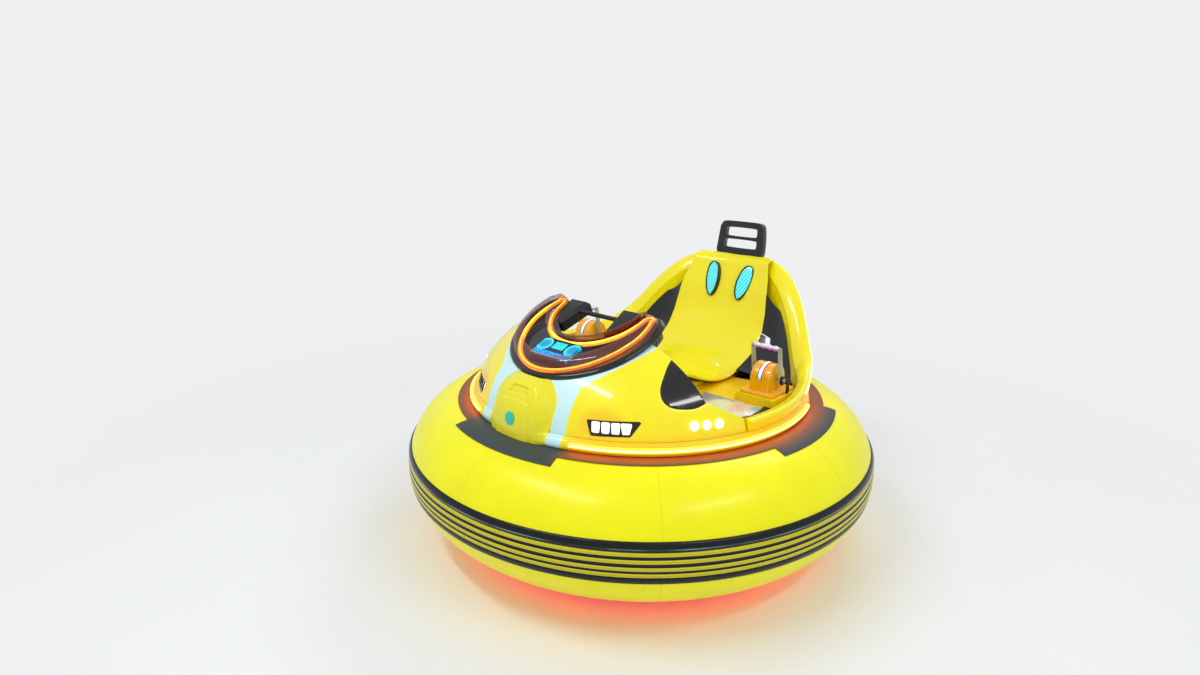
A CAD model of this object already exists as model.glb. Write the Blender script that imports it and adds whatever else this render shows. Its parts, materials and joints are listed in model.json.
# %% [markdown]
# # A battery bumper car, dressed for the camera
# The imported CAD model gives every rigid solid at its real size. This lesson adds the camera, the studio,
# the finishes, and smooth forms for the mouldings that a solid modeller draws with few faces. Each step
# says first what the piece is on the real car, how it could be made, and why one way was chosen.

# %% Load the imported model
import json
import math

import bpy
from mathutils import Matrix, Vector


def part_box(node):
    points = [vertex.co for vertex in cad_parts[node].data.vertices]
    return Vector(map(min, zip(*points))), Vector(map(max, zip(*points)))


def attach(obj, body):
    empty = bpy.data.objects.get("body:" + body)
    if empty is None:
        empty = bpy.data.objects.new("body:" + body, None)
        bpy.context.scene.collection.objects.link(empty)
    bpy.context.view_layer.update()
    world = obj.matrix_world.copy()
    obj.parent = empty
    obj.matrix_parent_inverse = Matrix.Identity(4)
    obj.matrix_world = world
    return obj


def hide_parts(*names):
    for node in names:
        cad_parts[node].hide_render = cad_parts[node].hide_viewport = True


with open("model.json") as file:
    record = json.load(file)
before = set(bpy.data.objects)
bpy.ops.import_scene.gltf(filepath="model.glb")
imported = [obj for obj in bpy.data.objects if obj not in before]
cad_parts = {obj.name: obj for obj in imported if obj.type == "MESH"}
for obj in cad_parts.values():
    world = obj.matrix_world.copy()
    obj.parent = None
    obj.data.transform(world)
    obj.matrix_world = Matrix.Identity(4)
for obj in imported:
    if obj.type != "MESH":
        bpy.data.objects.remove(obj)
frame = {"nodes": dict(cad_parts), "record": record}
NODES = frame["nodes"]
BODY = {node: body for body, nodes in frame["record"]["behaviour"]["bodies"].items() for node in nodes}
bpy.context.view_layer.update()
print("CAD nodes:", len(NODES))

# %% [markdown]
# ## The camera
# The photograph was taken from eye height in front of the car's left side. Matching the ellipse of the tube
# and a dozen corners gave the place, the turn and a wide 22.5 mm lens, so these numbers go straight in.

# %% Camera
CAMERA_PLACE = (1.946, -2.311, 1.666)
CAMERA_DOWN = 15.89
CAMERA_TURN = 43.23
LENS = 22.48

camera_data = bpy.data.cameras.new("photo_camera")
camera_data.lens = LENS
camera_data.sensor_width = 36
camera = bpy.data.objects.new("photo_camera", camera_data)
camera.location = CAMERA_PLACE
camera.rotation_euler = (math.radians(90 - CAMERA_DOWN), 0, math.radians(CAMERA_TURN))
bpy.context.scene.collection.objects.link(camera)
bpy.context.scene.camera = camera
print("camera at", CAMERA_PLACE)

# %% [markdown]
# ## The studio
# Bright lamps on all sides would wash a yellow car out. An even pale world does most of the lighting, so
# that colours render as they are written, and three large weak lamps add long soft streaks on the gloss.
# Where the camera, a glossy surface or glass looks past the floor it sees plain white, which Light Path
# tells apart.

# %% Lights and world
BACKDROP = (0.86, 0.87, 0.88, 1)
SKY_TINT = (0.95, 0.97, 1.0, 1)
SKY_STRENGTH = 0.72


def soft_lamp(name, place, target, size, power):
    """A long soft lamp at a place, turned to its target."""
    lamp = bpy.data.lights.new(name, "AREA")
    lamp.shape = "RECTANGLE"
    lamp.size, lamp.size_y = size
    lamp.energy = power
    holder = bpy.data.objects.new(name, lamp)
    holder.location = place
    holder.rotation_euler = (Vector(target) - Vector(place)).to_track_quat("-Z", "Y").to_euler()
    bpy.context.scene.collection.objects.link(holder)


soft_lamp("key", place=(-0.6, -2.6, 4.4), target=(0, 0, 0.6), size=(3.0, 0.3), power=58)
soft_lamp("fill", place=(3.4, -0.4, 4.0), target=(0, 0, 0.6), size=(2.6, 0.3), power=34)
soft_lamp("back", place=(-0.6, 3.4, 4.4), target=(0, 0, 0.8), size=(3.0, 0.3), power=34)

world = bpy.data.worlds.new("studio")
bpy.context.scene.world = world
world.use_nodes = True
sky = world.node_tree.nodes
links = world.node_tree.links
rays = sky.new("ShaderNodeLightPath")
seen = sky.new("ShaderNodeMath")
seen.operation = "MAXIMUM"
links.new(rays.outputs["Is Camera Ray"], seen.inputs[0])
links.new(rays.outputs["Is Transmission Ray"], seen.inputs[1])
plain = sky["Background"]
plain.inputs["Color"].default_value = SKY_TINT
plain.inputs["Strength"].default_value = SKY_STRENGTH
white = sky.new("ShaderNodeBackground")
white.inputs["Color"].default_value = BACKDROP
white.inputs["Strength"].default_value = 1.0
choose = sky.new("ShaderNodeMixShader")
links.new(seen.outputs[0], choose.inputs[0])
links.new(plain.outputs[0], choose.inputs[1])
links.new(white.outputs[0], choose.inputs[2])
links.new(choose.outputs[0], sky["World Output"].inputs["Surface"])
bpy.context.scene.view_settings.view_transform = "Standard"

# %% [markdown]
# ## Sums in materials
# A material's pattern is a sum of noise, waves and distances. Built node by node it is hard to read, so a
# small class wraps one output of a node and lets plain Python signs add the Math nodes.

# %% A value in a material
class Value:
    """One output of a node. Python's signs add Math nodes."""

    def __init__(self, finish, socket):
        self.finish, self.socket = finish, socket

    def math(self, operation, *others):
        return self.finish.node("ShaderNodeMath", {"operation": operation}, dict(enumerate((self, *others))))

    def __abs__(self):
        return self.math("ABSOLUTE")

    def root(self):
        return self.math("SQRT")

    def held(self):
        """Kept between 0 and 1."""
        return self.math("MAXIMUM", 0).math("MINIMUM", 1)

    def turn_from(self, across):
        """The angle of a point that is this far up and that far across, in radians."""
        return self.math("ARCTAN2", across)

    def saw(self):
        """Distance from the middle of each whole step, 0 to 0.5."""
        return abs(self.math("FRACT") - 0.5)

    def near(self, place, reach, soft):
        """1 at a place, 0 past a reach from it, with a soft edge."""
        return (reach - abs(self - place)).step(0, soft)

    def between(self, low, high, soft):
        """1 between two places, 0 outside them, with soft edges."""
        return (self - low).step(0, soft) * (high - self).step(0, soft)

    def step(self, low, high):
        """0 below low, 1 above high, smooth between."""
        return self.finish.node(
            "ShaderNodeMapRange",
            {"interpolation_type": "SMOOTHSTEP"},
            {"Value": self, "From Min": low, "From Max": high},
        )


def add_sign(sign, operation):
    """Lets a Python sign between a value and a value or a number add a Math node."""
    setattr(Value, f"__{sign}__", lambda self, other: self.math(operation, other))
    setattr(Value, f"__r{sign}__", lambda self, other: self.finish.number(other).math(operation, self))


for sign, operation in (("add", "ADD"), ("sub", "SUBTRACT"), ("mul", "MULTIPLY"), ("truediv", "DIVIDE")):
    add_sign(sign, operation)


class Finish:
    """One material, with a Principled shader."""

    def __init__(self, name, **constants):
        self.material = bpy.data.materials.new(name)
        self.material.use_nodes = True
        self.tree = self.material.node_tree
        self.shader = self.tree.nodes["Principled BSDF"]
        for socket, value in constants.items():
            self.shader.inputs[socket.replace("_", " ")].default_value = value

    def node(self, kind, settings, values, output=0):
        """Adds a node: its settings first, then the values or links of its sockets."""
        made = self.tree.nodes.new(kind)
        for key, value in settings.items():
            setattr(made, key, value)
        for key, value in values.items():
            if isinstance(value, Value):
                self.tree.links.new(value.socket, made.inputs[key])
            else:
                made.inputs[key].default_value = value
        return Value(self, made.outputs[output])

    def number(self, value):
        made = self.tree.nodes.new("ShaderNodeValue")
        made.outputs[0].default_value = value
        return Value(self, made.outputs[0])

    def place(self, stretch=(1, 1, 1)):
        """Object coordinates in metres, stretched for a pattern."""
        spot = self.node("ShaderNodeTexCoord", {}, {}, "Object")
        return self.node("ShaderNodeMapping", {}, {"Vector": spot, "Scale": stretch})

    def axes(self, move=(0, 0, 0), turn=(0, 0, 0)):
        """The three object coordinates, if asked about another centre and turn."""
        spot = self.node("ShaderNodeTexCoord", {}, {}, "Object")
        if any(move) or any(turn):
            spot = self.node("ShaderNodeVectorMath", {"operation": "SUBTRACT"}, {0: spot, 1: move})
            spot = self.node("ShaderNodeMapping", {}, {"Vector": spot, "Rotation": turn})
        parts = self.node("ShaderNodeSeparateXYZ", {}, {"Vector": spot})
        return [Value(self, output) for output in parts.socket.node.outputs]

    def noise(self, scale, detail=4, stretch=(1, 1, 1)):
        values = {"Vector": self.place(stretch), "Scale": scale, "Detail": detail}
        return self.node("ShaderNodeTexNoise", {}, values)

    def cells(self, scale):
        """Distance to the nearest of many scattered points."""
        return self.node("ShaderNodeTexVoronoi", {}, {"Vector": self.place(), "Scale": scale}, "Distance")

    def mix(self, mask, low, high):
        """A colour between two, by a mask. Three numbers are a colour as the screen shows it."""
        low, high = (shade(*c) if isinstance(c, tuple) and len(c) == 3 else c for c in (low, high))
        return self.node("ShaderNodeMix", {"data_type": "RGBA"}, {0: mask, 6: low, 7: high}, 2)

    def bump(self, height, depth):
        return self.node("ShaderNodeBump", {}, {"Height": height, "Distance": depth, "Strength": 1.0})

    def set(self, **inputs):
        for socket, value in inputs.items():
            self.tree.links.new(value.socket, self.shader.inputs[socket.replace("_", " ")])
        return self

    def shine(self, tint, **inputs):
        """The same tint for the face and for its light."""
        return self.set(Base_Color=tint, Emission_Color=tint, **inputs)


def paint(finish, *names):
    """Gives CAD nodes or new pieces a finish."""
    for name in names:
        piece = bpy.data.objects.get(name) or NODES[name]
        piece.data.materials.clear()
        piece.data.materials.append(finish.material)
        for face in piece.data.polygons:
            face.material_index = 0


def shade(red, green, blue):
    """A colour as the screen shows it, turned into light."""
    light = [c / 12.92 if c <= 0.04045 else ((c + 0.055) / 1.055) ** 2.4 for c in (red, green, blue)]
    return (*light, 1)


def coat(name, noise, dark, light, rough, depth=0, **constants):
    """A finish with one noise. It moves the colour, the roughness and, by a depth in metres, the bump."""
    made = Finish(name, **constants)
    grain = made.noise(*noise)
    made.set(Base_Color=made.mix(grain, dark, light), Roughness=rough[0] + grain * rough[1])
    return made.set(Normal=made.bump(grain, depth)) if depth else made


def distance(across, along):
    """How far a point is from the place where both coordinates are 0."""
    return (across * across + along * along).root()


print("helpers for finishes ready")

# %% [markdown]
# ## Helpers for shapes
# A moulded shell is a row of sections with a skin over them. By hand that is a flat grid whose points are
# moved into place, whose seam is merged and whose ends are filled. Lists of points are in millimetres, as
# in the CAD.

# %% Selecting, and the last steps of a piece
def pick(*pieces):
    """Selects only these pieces. The last one is active."""
    bpy.ops.object.select_all(action="DESELECT")
    for piece in pieces:
        piece.select_set(True)
        bpy.context.view_layer.objects.active = piece
    return pieces[-1]


def soften(piece, angle=35, edge=0.0, steps=2):
    """Rounds the sharp edges by a width in metres and smooths the shading up to an angle."""
    pick(piece)
    if edge:
        bevel = piece.modifiers.new("edges", "BEVEL")
        bevel.width = edge
        bevel.segments = steps
        bevel.limit_method = "ANGLE"
        bevel.angle_limit = math.radians(angle)
        bevel.harden_normals = False
        bpy.ops.object.modifier_apply(modifier="edges")
    bpy.ops.object.shade_smooth_by_angle(angle=math.radians(angle))
    return piece


def clean(piece, gap=0.00005, flat=None, fill=False):
    """Merges doubles, joins flat faces and turns every face outwards."""
    pick(piece)
    bpy.ops.object.mode_set(mode="EDIT")
    bpy.ops.mesh.select_all(action="SELECT")
    bpy.ops.mesh.remove_doubles(threshold=gap)
    if fill:
        bpy.ops.mesh.fill_holes(sides=0)
    if flat:
        bpy.ops.mesh.dissolve_limited(angle_limit=math.radians(flat))
    bpy.ops.mesh.normals_make_consistent(inside=False)
    bpy.ops.object.mode_set(mode="OBJECT")
    return piece


def stands_for(piece, *nodes):
    """The piece takes the place, the body and the record's finish of CAD nodes."""
    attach(piece, BODY[nodes[0]])
    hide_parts(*nodes)
    return piece


# %% [markdown]
# Three ways of making cover nearly every piece: a skin over sections, a flat outline extruded to a prism,
# and prisms cut out of either. Left and right pieces share one drawing, and a mirror takes it to the other
# side.

# %% Skins, prisms and cuts
def skin(name, rows, fill=True, angle=35):
    """Faces over rows of points. A row that ends where it starts closes round."""
    bpy.ops.object.select_all(action="DESELECT")
    bpy.ops.mesh.primitive_grid_add(x_subdivisions=len(rows[0]) - 1, y_subdivisions=len(rows) - 1, size=1)
    piece = bpy.context.object
    piece.name = name
    piece.data.vertices.foreach_set("co", [c / 1000 for row in rows for point in row for c in point])
    piece.data.update()
    clean(piece, fill=fill)
    return soften(piece, angle)


def prism(name, outline, height, stand=Matrix.Identity(4)):
    """A flat outline, filled and extruded up, then stood in its place."""
    bpy.ops.object.select_all(action="DESELECT")
    bpy.ops.mesh.primitive_circle_add(vertices=len(outline), fill_type="NGON")
    piece = bpy.context.object
    piece.name = name
    piece.data.vertices.foreach_set("co", [c for x, y in outline for c in (x / 1000, y / 1000, 0)])
    bpy.ops.object.mode_set(mode="EDIT")
    bpy.ops.mesh.select_all(action="SELECT")
    bpy.ops.mesh.extrude_region_move(TRANSFORM_OT_translate={"value": (0, 0, height / 1000)})
    bpy.ops.object.mode_set(mode="OBJECT")
    piece.data.transform(stand)
    return clean(piece)


def apply_boolean(piece, tool, operation):
    """Joins, cuts or intersects with a tool, which is used up."""
    pick(piece)
    change = piece.modifiers.new("boolean", "BOOLEAN")
    change.operation = operation
    change.object = tool
    change.solver = "EXACT"
    bpy.ops.object.modifier_apply(modifier="boolean")
    bpy.data.objects.remove(tool)


def cut(piece, *tools):
    """Takes the tools' shapes out of a piece."""
    for tool in tools:
        apply_boolean(piece, tool, "DIFFERENCE")


def on_side(side, *pieces):
    """Mirrors pieces to the car's other side where the side is -1."""
    if side < 0:
        for piece in pieces:
            piece.data.transform(Matrix.Scale(-1, 4, (1, 0, 0)))
            clean(piece)


def walled(piece, thickness):
    """Gives an open sheet a wall, in metres, on its inner side."""
    pick(piece)
    piece.modifiers.new("wall", "SOLIDIFY").thickness = thickness
    bpy.ops.object.modifier_apply(modifier="wall")
    return piece


def joined(name, *pieces):
    """One piece from several, which are used up."""
    pick(*pieces)
    bpy.ops.object.join()
    bpy.context.object.name = name
    return bpy.context.object


print("helpers for shapes ready")

# %% [markdown]
# Many CAD nodes already have the right shape and only want what a mould or a press gives them: small
# rounded edges and smooth curved faces. Their triangles are loose, so a copy is merged first and its flat
# faces are joined, or the bevel would round every triangle.

# %% Dressing a CAD node
def dressed(name, node, angle=35, edge=0.0, steps=2):
    """A finished piece from a copy of a CAD node."""
    piece = bpy.data.objects.new(name, NODES[node].data.copy())
    bpy.context.scene.collection.objects.link(piece)
    clean(piece, gap=0.00003, flat=0.5)
    soften(piece, angle, edge, steps)
    return stands_for(piece, node)


print("ready to dress the solid model's nodes")

# %% [markdown]
# Sections are read from short tables. A spline through a table's rows keeps highlights long, and a
# looked-up value with its corners rounded is enough where only one number changes along the car.

# %% Curves through tables
def polar(radius, degrees):
    """Across and along of a point at a radius and a direction."""
    return radius * math.cos(math.radians(degrees)), radius * math.sin(math.radians(degrees))


def rotation(degrees, axis):
    return Matrix.Rotation(math.radians(degrees), 4, axis)


def through(points, steps):
    """A smooth curve through the rows of a table, with some steps between each two."""
    curve = []
    for i in range(len(points) - 1):
        before, start, end, after = (points[max(0, min(len(points) - 1, i + k))] for k in (-1, 0, 1, 2))
        for step in range(steps):
            t = step / steps
            curve.append([
                b + 0.5 * t * (c - a + t * (2 * a - 5 * b + 4 * c - d + t * (3 * (b - c) + d - a)))
                for a, b, c, d in zip(before, start, end, after)
            ])
    return curve + [list(points[-1])]


def rounded(points, rounds=2):
    """An open line with its corners cut back, round after round."""
    for _ in range(rounds):
        line = [points[0]]
        for a, b in zip(points, points[1:]):
            line.append([0.75 * p + 0.25 * q for p, q in zip(a, b)])
            line.append([0.25 * p + 0.75 * q for p, q in zip(a, b)])
        points = line + [points[-1]]
    return points


def looked_up(x, table):
    """Value of a two-column table at x."""
    if x <= table[0][0]:
        return table[0][1]
    for (a, low), (b, high) in zip(table, table[1:]):
        if x <= b:
            return low + (high - low) * (x - a) / (b - a)
    return table[-1][1]


def soft_value(x, table, reach):
    """Value of a table at x, with its corners rounded over a distance."""
    return (looked_up(x - reach, table) + 2 * looked_up(x, table) + looked_up(x + reach, table)) / 4


def ease(x, low, high):
    """0 below low, 1 above high, smooth between."""
    t = max(0.0, min(1.0, (x - low) / (high - low)))
    return t * t * (3 - 2 * t)


def around(rows_of, first, last, count):
    """Rows of points on a turn about the upright axis: each place is (radius, height)."""
    rows = []
    for i in range(count + 1):
        angle = first + (last - first) * i / count
        c, s = polar(1, angle)
        rows.append([(r * c, r * s, z) for r, z in rows_of(angle)])
    return rows


print("curve helpers ready")

# %% [markdown]
# ## The tube and its rubbing strip
# The tube is a ring of satin vinyl, 490 mm thick, welded from gores. A torus would do for its shape, but
# the welds pull the vinyl in a little, so it is a skin over sections whose radius dips at every weld.

# %% Tube
RING_RADIUS = 720
TUBE_SECTION = 245
TUBE_HEIGHT = 338.3
GORES = 8
WELD_DIPS = [(0.2, 0.8), (0.3, 4)]  # depth, and width in degrees


def tube_section(angle):
    weld = abs((angle * GORES / 360 + 0.5) % 1 - 0.5) * 360 / GORES
    radius = TUBE_SECTION
    for depth, width in WELD_DIPS:
        radius = radius - depth * math.exp(-((weld / width) ** 2))
    places = []
    for k in range(65):
        turn = 2 * math.pi * k / 64
        places.append((RING_RADIUS + radius * math.cos(turn), TUBE_HEIGHT + radius * math.sin(turn)))
    return places


tube = skin("tube_skin", around(tube_section, 0, 360, 240))
stands_for(tube, "tube")
print("tube faces:", len(tube.data.polygons))

# %% [markdown]
# The rubbing strip is one vinyl extrusion glued round the tube: a thick black band on top, four yellow ribs
# with black grooves between, and a thinner black band below. Its outline is a list of angles round the
# tube's section with the height of the vinyl there. Spinning that outline keeps the ribs even all round.

# %% Rubbing strip
STRIP_OUTLINE = [
    (-16.0, -1.0), (-15.9, 2.6), (-15.2, 3.8), (-13.0, 4.4), (-11.0, 4.0), (-10.3, 2.4), (-10.0, 1.0),
    (-9.6, 2.8), (-9.0, 3.9), (-8.0, 4.4), (-7.0, 3.9), (-6.3, 2.8), (-5.9, 1.6), (-5.1, 0.8), (-4.5, 1.6),
    (-3.9, 2.8), (-3.2, 3.9), (-2.4, 4.4), (-1.3, 3.9), (-0.8, 2.8), (-0.5, 1.6), (0.6, 0.8), (1.7, 1.6),
    (2.1, 2.8), (2.7, 3.9), (3.7, 4.4), (4.7, 3.9), (5.2, 2.8), (5.5, 1.6), (6.4, 0.8), (7.3, 1.6),
    (7.6, 2.8), (8.2, 3.9), (9.0, 4.4), (9.9, 3.9), (10.4, 2.8), (10.7, 1.4), (11.2, 3.6), (12.0, 5.8),
    (13.2, 7.4), (14.6, 7.4), (16.4, 6.6), (17.8, 4.8), (18.6, 2.0), (18.8, -1.0), (4.0, -1.0), (-16.0, -1.0),
]


def strip_section(angle):
    places = []
    for turn, height in STRIP_OUTLINE:
        out, up = polar(TUBE_SECTION + height, turn)
        places.append((RING_RADIUS + out, TUBE_HEIGHT + up))
    return places


strip_piece = skin("rubbing_strip", around(strip_section, 0, 360, 200), angle=45)
stands_for(strip_piece, "rub_strip")
print("strip faces:", len(strip_piece.data.polygons))

# %% [markdown]
# ## The hood
# One thin yellow moulding covers the front of the car. It could be modelled face by face, but the real plug
# for its mould was turned, so a section is spun round the upright axis, and everything else is cut away
# from the shell: the open rear, the seat of the dash pod, the knee notch, the headlamps and the black side
# panels.

# %% Hood, before the cuts
SHELL_BOTTOM = 586.9
SHELL_WALL = 6
HOOD_ARC = [
    (0, 371), (100, 368), (200, 361), (300, 348), (360, 337), (420, 319), (476, 293),
    (526, 261), (570, 225), (606, 187), (636, 147), (658, 107), (672, 69), (678, 43),
]
hood_line = through(HOOD_ARC, 4)
HOOD_RADIUS = HOOD_ARC[-1][0]
hood_inner = [
    (max(0, r - SHELL_WALL * (r / HOOD_RADIUS) ** 2), z - SHELL_WALL * (1 - (r / HOOD_RADIUS) ** 3))
    for r, z in HOOD_ARC
]
hood_profile = hood_line + [tuple(p) for p in hood_inner[::-1]] + [hood_line[0]]


def turned_shell(name, inward=0.0, lower=0.0):
    """The hood's section, moved in and down a little, turned over the front half of the car."""
    section = [(max(0, r - inward), SHELL_BOTTOM + z - lower) for r, z in hood_profile]
    return skin(name, around(lambda angle: section, 180, 360, 144))


hood = turned_shell("hood_skin")
print("hood shell:", len(hood.data.polygons), "faces")

# %% [markdown]
# The dash, the headlamps and the side panels are drawn flat, each in a frame of its own. A frame is a
# matrix that stands a flat drawing in its place, so one prism helper serves all of them.

# %% Places on the car
DASH_TILT = 23
POD_FRONT = -590
POD_HEIGHT = SHELL_BOTTOM + 199
POD_HALF = 312
POD_LENGTH = 434
PRONG = 60
NOTCH_HALF = 178
NOTCH_FRONT = 222
dash_stand = Matrix.Translation((0, POD_FRONT / 1000, POD_HEIGHT / 1000)) @ rotation(DASH_TILT, "X")
LAMP_DIRECTION = 32.6
side_stand = rotation(90, "Z") @ rotation(90, "X")
lamp_stand = Matrix.Translation((0, 0, SHELL_BOTTOM / 1000)) @ rotation(LAMP_DIRECTION - 90, "Z") @ side_stand


def shifted(stand, height):
    """The stand, moved along its own upright by millimetres."""
    return stand @ Matrix.Translation((0, 0, height / 1000))


def arc(centre, radius, first, last, count):
    """Points on an arc, in degrees."""
    places = [polar(radius, first + (last - first) * i / count) for i in range(count + 1)]
    return [(centre[0] + x, centre[1] + y) for x, y in places]


def both_sides(half):
    """A half outline that starts on the middle line, with its mirror image."""
    return half + [(-x, y) for x, y in half[:0:-1]]


def pod_outline(margin):
    """Outline of the dash pod without its notch, pulled in by a margin."""
    half = arc((0, POD_HALF), POD_HALF - margin, -90, 14, 44) + arc(
        (POD_HALF - PRONG - 8, POD_LENGTH - PRONG), PRONG - margin, 16, 90, 16
    )
    return both_sides(half)


def notch_outline(margin):
    half = arc((0, NOTCH_FRONT + NOTCH_HALF), NOTCH_HALF + margin, -90, 0, 36) + [
        (NOTCH_HALF + margin, POD_LENGTH + 200)
    ]
    return both_sides(half)


PANEL_DROP = [
    (-289, 744), (-289, 871), (-300, 865), (-328, 850), (-354, 832), (-378, 813), (-397, 795), (-410, 777),
    (-416, 760), (-414, 746), (-404, 736), (-388, 731), (-363, 728), (-338, 729), (-311, 736),
]


def teardrop_outline():
    """The black side panel from the side: round in front, pointed above, straight behind."""
    return PANEL_DROP[:2] + [tuple(p) for p in through(PANEL_DROP[1:] + PANEL_DROP[:1], 3)[1:-1]]


LAMP_OUTLINE = [(-92, 103), (-88, 107), (90, 110), (97, 105), (66, 63), (60, 58), (-72, 54), (-77, 58)]
print("pod outline has", len(pod_outline(0)), "points")

# %% [markdown]
# The shell is solid fibre all round, so the openings are real cuts with the wall showing: the rear, the
# pod's seat and the notch once, the headlamp, the side panel and the three round lamps on each side.

# %% Cuts of the hood
REAR_OPENING = [(-297, 1300), (-297, 744), (-185.3, 676), (-185.3, 500), (900, 500), (900, 1300)]
ROUND_LAMPS = [(56.8, 90), (60.8, 89), (64.8, 88)]  # direction, and height over the rim
ROUND_LAMP_HOLE = 16.3

rear_cut = prism("rear", REAR_OPENING, 1600, shifted(side_stand, -800))
pod_cut = prism("pod", pod_outline(-8.3), 300, shifted(dash_stand, -0.8))
notch_cut = prism("notch", notch_outline(0), 600, shifted(dash_stand, -300))
cut(hood, rear_cut, pod_cut, notch_cut)


def side_prism(name, outline):
    """A prism through the left flank of the shell, drawn from the side."""
    return prism(name, outline, 320, shifted(side_stand, 380))


def round_stand(turn, height, out):
    """Frame of a round lamp, with its upright pointing out of the shell."""
    place = Matrix.Translation((out / 1000, 0, (SHELL_BOTTOM + height) / 1000))
    return rotation(turn - 90, "Z") @ place @ rotation(90, "Y")


for side in (1, -1):
    tools = [
        prism("lamp", LAMP_OUTLINE, 240, shifted(lamp_stand, 560)),
        side_prism("panel", teardrop_outline()),
    ]
    hole = arc((0, 0), ROUND_LAMP_HOLE, 0, 348.75, 31)
    tools += [prism("hole", hole, 90, round_stand(turn, height, 640)) for turn, height in ROUND_LAMPS]
    on_side(side, *tools)
    cut(hood, *tools)
soften(clean(hood, flat=0.05), angle=32, edge=0.0012, steps=2)
print("hood cut")

# %% [markdown]
# The black side panels are cut from the same turned surface, a little lower, so they sit flush in their
# holes like the real inserts, with a fine joint round them.

# %% Side panels
KEPT_PART = [(-297.6, 700), (-297.6, 900), (-430, 900), (-430, 700)]

inserts = []
for side in (1, -1):
    insert = turned_shell("insert", inward=1.5, lower=1.2)
    form = side_prism("form", teardrop_outline())
    keep = side_prism("keep", KEPT_PART)
    on_side(side, form, keep)
    apply_boolean(insert, form, "INTERSECT")
    apply_boolean(insert, keep, "INTERSECT")
    inserts.append(soften(clean(insert, flat=0.05), angle=32, edge=0.001))
stands_for(joined("side_panels_skin", *inserts), "side_panels")
stands_for(hood, "hood")
print("hood:", len(hood.data.polygons), "faces")

# %% [markdown]
# ## The nose
# Between the two pale stripes the hood swells out into a smooth nose that runs down over the rim. It
# carries a raised door with a grip recess above it. All of this is height over the hood, so the nose is a
# fine grid whose distance from the axis is a sum: the hood's own radius, the swelling, the door and the
# recess.

# %% Nose
NOSE_ARC = [(712, 0), (710, 33), (704, 73), (692, 117), (672, 157), (644, 187), (606, 203)]
NOSE_HALF_WIDTH = [(0, 152), (81, 152), (125, 144), (169, 124), (203, 92)]
NOSE_HEIGHT = 203
DOOR_RAISED, CREASE_DEPTH, RECESS_DEPTH = 7, 1.6, 9
NOSE_ACROSS, NOSE_UP = 120, 84  # faces
RIM_LINE = [(0, 700), (12, 704), (36, 694), (43, 684)]
hood_radius = RIM_LINE + [(z, r) for r, z in HOOD_ARC[::-1] if z > 43]
nose_radius = [(z, r) for r, z in through(NOSE_ARC, 6)]


def nose_out(x, z):
    """Distance of the nose's face from the axis, at a place seen from the front."""
    base = looked_up(z, hood_radius) - 1.5
    half = looked_up(z, NOSE_HALF_WIDTH)
    swell = ease(half - abs(x), 0, 46) ** 0.8
    r = base + swell * max(0.0, looked_up(z, nose_radius) - base)
    slope = max(0.0, z - 10) * 0.13
    door = min(ease(88 - slope - abs(x), 0, 9), ease(z, -30, -12), ease(140 - z - 0.0016 * x * x, 0, 9))
    crease = math.exp(-(((abs(x) - 62 + slope) / 2.2) ** 2)) * ease(z, 8, 20) * ease(126 - z, 0, 14)
    recess = min(ease(50 - (z - 149) * 0.3 - abs(x), 0, 6), ease(z, 147, 153), ease(178 - z, 0, 5))
    return r + (DOOR_RAISED - CREASE_DEPTH * crease) * door - RECESS_DEPTH * recess * (1 - door)


rows = []
for j in range(NOSE_UP + 1):
    z = NOSE_HEIGHT * j / NOSE_UP
    half = looked_up(z, NOSE_HALF_WIDTH)
    row = []
    for i in range(NOSE_ACROSS + 1):
        x = half * (2 * i / NOSE_ACROSS - 1)
        r = nose_out(x, z)
        row.append((x, -math.sqrt(r * r - x * x), SHELL_BOTTOM + z))
    rows.append(row)
nose = walled(skin("nose_skin", rows, fill=False, angle=40), 0.004)
cut(nose, prism("pod", pod_outline(-8.6), 300, shifted(dash_stand, -0.9)))
soften(clean(nose), angle=40)
stands_for(nose, "nose_panel")
print("nose:", len(nose.data.polygons), "faces")

# %% [markdown]
# ## Sills and rear hoops
# One moulding runs along both sills, climbs into the two hoops behind the levers and meets in the seat's
# back. Its height and the width of its band change with the direction from the car's middle, so it is a
# loft: each section comes from two short tables, and cutting the section's corners back three times gives
# the moulded look.

# %% Hoops
DECK = SHELL_BOTTOM + 18
SILL = SHELL_BOTTOM + 89
BACK = DECK + 477
WALL = 684
SILL_FRONT = -185
HOOD_FOOT = SHELL_BOTTOM + 42
HOOP_CREST = [
    (-20, 0), (15, 0), (25, 0.01), (32, 0.049), (38, 0.108), (43, 0.187), (47, 0.281),
    (51, 0.399), (55, 0.552), (61, 0.729), (67, 0.872), (73, 0.946), (80, 0.975), (90, 0.985),
]
HOOP_BAND = [(-20, 44), (30, 44), (43, 66), (62, 66), (72, 56), (76, 36), (80, 22), (90, 16)]


def hoop_numbers(angle):
    """Crest height, band width, outer radius and drop of the band at an angle."""
    a = 180 - angle if angle > 90 else angle
    h = SILL + soft_value(a, HOOP_CREST, 2.5) * (BACK - SILL)
    band = soft_value(a, HOOP_BAND, 2)
    rise = min(1, max(0, (h - SILL) / 60))
    out = WALL + 6 + 28 * rise + max(0, h - SILL - 60) * 0.1
    return h, band, out, 10 + 50 * rise * min(1, band / 60)


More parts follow.
